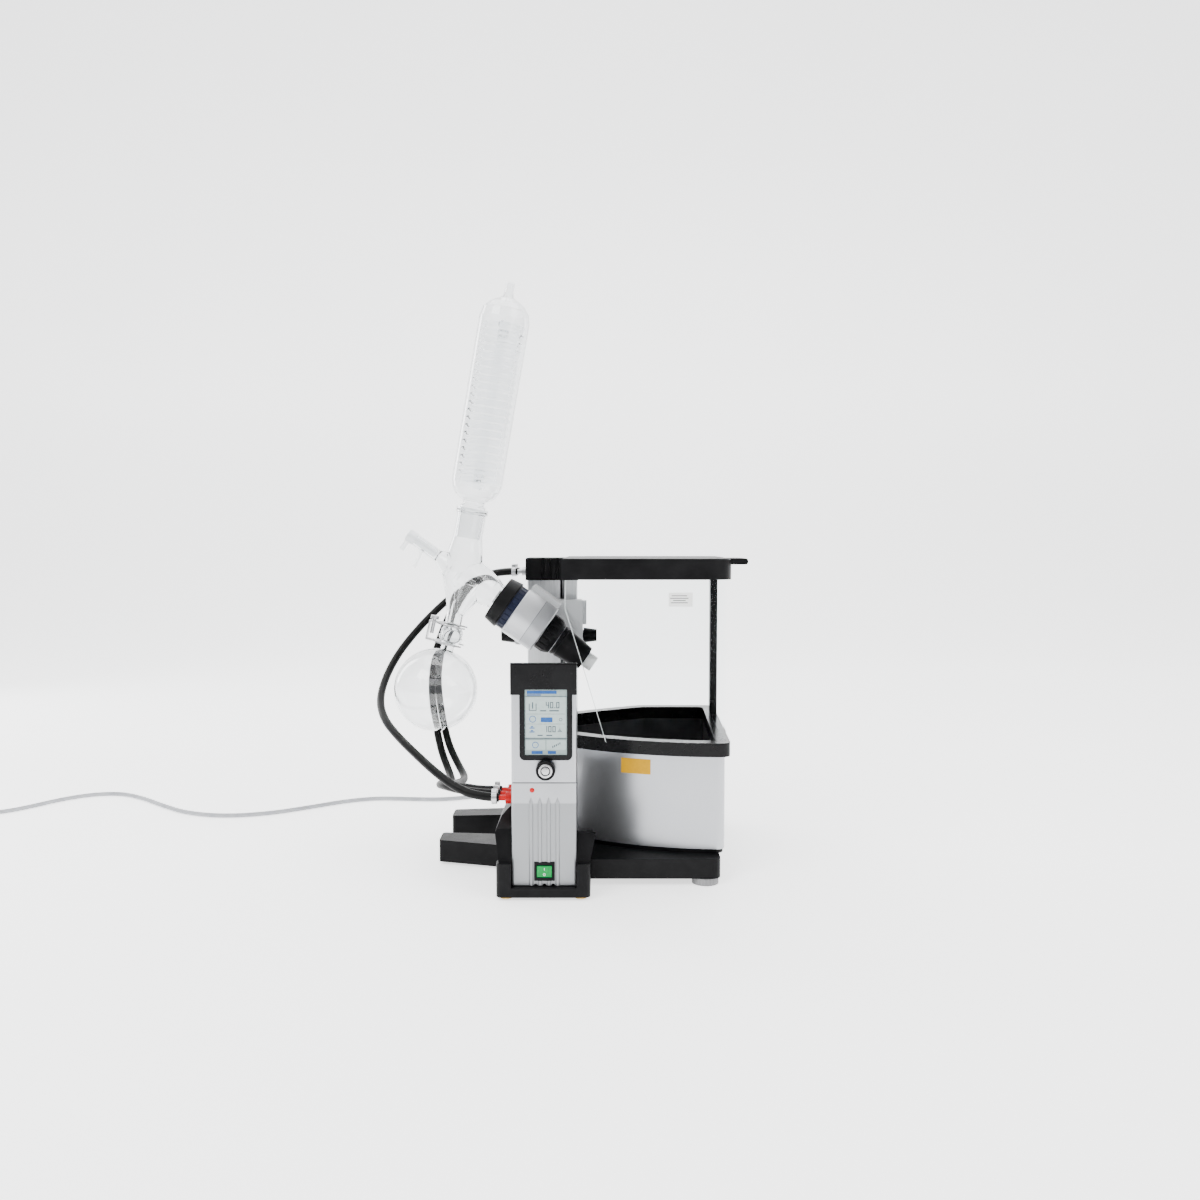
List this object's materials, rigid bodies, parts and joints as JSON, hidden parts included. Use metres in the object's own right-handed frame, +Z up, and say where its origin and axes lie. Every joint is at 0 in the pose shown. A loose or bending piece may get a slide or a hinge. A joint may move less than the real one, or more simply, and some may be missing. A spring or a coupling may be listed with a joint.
{
  "type": "rotary evaporator",
  "caption": "Bench rotary evaporator: lift column, tilting rotary drive, upright coil condenser, receiving flask, and heating bath under a clear hinged hood.",
  "frame": {"origin": "on the bench, under the middle of the machine without its loose lead and hoses", "axes": "+Z up, +X to the operator's right, towards the bath; the operator stands at -Y"},
  "size_m": [1.436, 0.5859, 0.8867],
  "materials": {
    "black_plastic": "fine textured black moulding",
    "silver_paint": "silver powder coat",
    "light_grey": "light grey paint",
    "column_metal": "clear anodised extrusion",
    "steel": "brushed stainless",
    "brass": "plain brass",
    "rubber": "black rubber",
    "lead_grey": "grey PVC lead",
    "red_plastic": "red connector",
    "green_plastic": "translucent green rocker",
    "screen": "lit display window",
    "glass": "clear borosilicate",
    "clear_pane": "clear hood pane",
    "foot_grey": "grey knurled foot"
  },
  "bodies": {
    "base": {"base_casting": "black_plastic", "front_leg": "black_plastic", "rear_leg": "black_plastic", "rubber_feet": "rubber", "brass_feet": "brass", "tower_housing": "black_plastic", "tower_panel": "silver_paint", "switch_frame": "black_plastic", "column_profile": "column_metal", "column_cap": "black_plastic", "bath_bottom": "black_plastic", "bath_wall": "silver_paint", "bath_rim": "black_plastic", "bath_pan": "steel", "column_fittings": "steel", "tower_connectors": "red_plastic", "hose_clamps": "steel", "hose_front": "rubber", "hose_middle": "rubber", "hose_rear": "rubber", "mains_inlet": "black_plastic", "lead_connector": "lead_grey", "mains_lead": "lead_grey", "lead_coil": "lead_grey", "lead_tie": "black_plastic", "mains_plug": "lead_grey"},
    "foot": {"levelling_foot": "foot_grey"},
    "rocker": {"switch_rocker": "green_plastic"},
    "handset": {"handset_housing": "silver_paint", "handset_panel": "silver_paint", "display_bezel": "black_plastic", "display_glass": "screen"},
    "knob": {"control_knob": "black_plastic"},
    "spindle": {"lift_spindle": "steel"},
    "carriage": {"carriage_block": "light_grey", "lift_nut": "brass"},
    "left_clamp": {"clamp_knob_left": "black_plastic"},
    "right_clamp": {"clamp_knob_right": "black_plastic"},
    "drive": {"drive_barrel": "silver_paint", "drive_bearings": "steel", "drive_belt": "rubber", "drive_housing": "light_grey", "drive_motor": "steel", "flange_collar": "black_plastic", "distribution_head": "glass", "condenser_jacket": "glass", "condenser_coil": "glass", "ball_clamp": "steel"},
    "rotor": {"hollow_shaft": "steel", "ejector_ring": "black_plastic", "flask_sleeve": "black_plastic", "vapour_tube": "glass"},
    "motor_rotor": {"motor_pulley": "steel"},
    "nut": {"flange_nut": "black_plastic"},
    "flask": {"receiving_flask": "glass"},
    "clamp_screw": {"clamp_screw": "steel"},
    "tap": {"tap_plug": "glass"},
    "hood": {"hood_lid": "black_plastic", "hood_pane_front": "clear_pane", "hood_pane_rear": "clear_pane"}
  },
  "joints": [
    {"name": "lift", "type": "slide", "parent": "base", "child": "carriage", "axis": [0, 0, 1], "range_m": [-0.07, 0]},
    {"name": "spindle_turn", "type": "hinge", "parent": "base", "child": "spindle", "pos_m": [-0.007, 0.178, 0.25], "axis": [0, 0, 1], "range_deg": [-1261, 1]},
    {"name": "drive_tilt", "type": "hinge", "parent": "carriage", "child": "drive", "pos_m": [-0.05, 0.11, 0.3587], "axis": [0, 1, 0], "range_deg": [-1, 9]},
    {"name": "shaft_spin", "type": "hinge", "parent": "drive", "child": "rotor", "pos_m": [-0.05, 0.02, 0.3587], "axis": [0.8192, 0, -0.5736], "continuous": true},
    {"name": "motor_spin", "type": "hinge", "parent": "drive", "child": "motor_rotor", "pos_m": [-0.05, 0.068, 0.3587], "axis": [0.8192, 0, -0.5736], "continuous": true},
    {"name": "flange_nut_turn", "type": "hinge", "parent": "drive", "child": "nut", "pos_m": [-0.05, 0.02, 0.3587], "axis": [0.8192, 0, -0.5736], "range_deg": [0, 90]},
    {"name": "flask_swivel", "type": "hinge", "parent": "drive", "child": "flask", "pos_m": [-0.17792, 0.02, 0.33989], "axis": [0.2756, 0, 0.9613], "continuous": true},
    {"name": "ball_clamp_screw", "type": "hinge", "parent": "drive", "child": "clamp_screw", "pos_m": [-0.20813, 0.02, 0.34686], "axis": [0.225, 0, 0.9744], "range_deg": [-180, 180]},
    {"name": "tap_turn", "type": "hinge", "parent": "drive", "child": "tap", "pos_m": [-0.1609, 0.02, 0.4364], "axis": [-0.8145, 0, 0.5802], "range_deg": [0, 90]},
    {"name": "tilt_clamp", "type": "hinge", "parent": "carriage", "child": "left_clamp", "pos_m": [-0.09, 0.122, 0.328], "axis": [1, 0, 0], "range_deg": [-90, 90]},
    {"name": "height_clamp", "type": "hinge", "parent": "carriage", "child": "right_clamp", "pos_m": [0.04, 0.122, 0.328], "axis": [1, 0, 0], "range_deg": [-90, 90]},
    {"name": "handset_pull", "type": "slide", "parent": "base", "child": "handset", "axis": [0, -1, 0], "range_m": [0, 0.05]},
    {"name": "knob_turn", "type": "hinge", "parent": "handset", "child": "knob", "pos_m": [-0.016, -0.225, 0.1785], "axis": [0, -1, 0], "continuous": true},
    {"name": "switch_rock", "type": "hinge", "parent": "base", "child": "rocker", "pos_m": [-0.0185, -0.218, 0.0375], "axis": [1, 0, 0], "range_deg": [-8, 8]},
    {"name": "foot_turn", "type": "hinge", "parent": "base", "child": "foot", "pos_m": [0.207, -0.156, 0.005], "axis": [0, 0, 1], "continuous": true},
    {"name": "hood_lift", "type": "hinge", "parent": "base", "child": "hood", "pos_m": [0.011, 0.11, 0.445], "axis": [0, -1, 0], "range_deg": [0, 65]}
  ],
  "couplings": [
    {"joint": "spindle_turn", "follows": "lift", "rad_per_m": 314.16},
    {"joint": "motor_spin", "follows": "shaft_spin", "ratio": 2.6667}
  ]
}
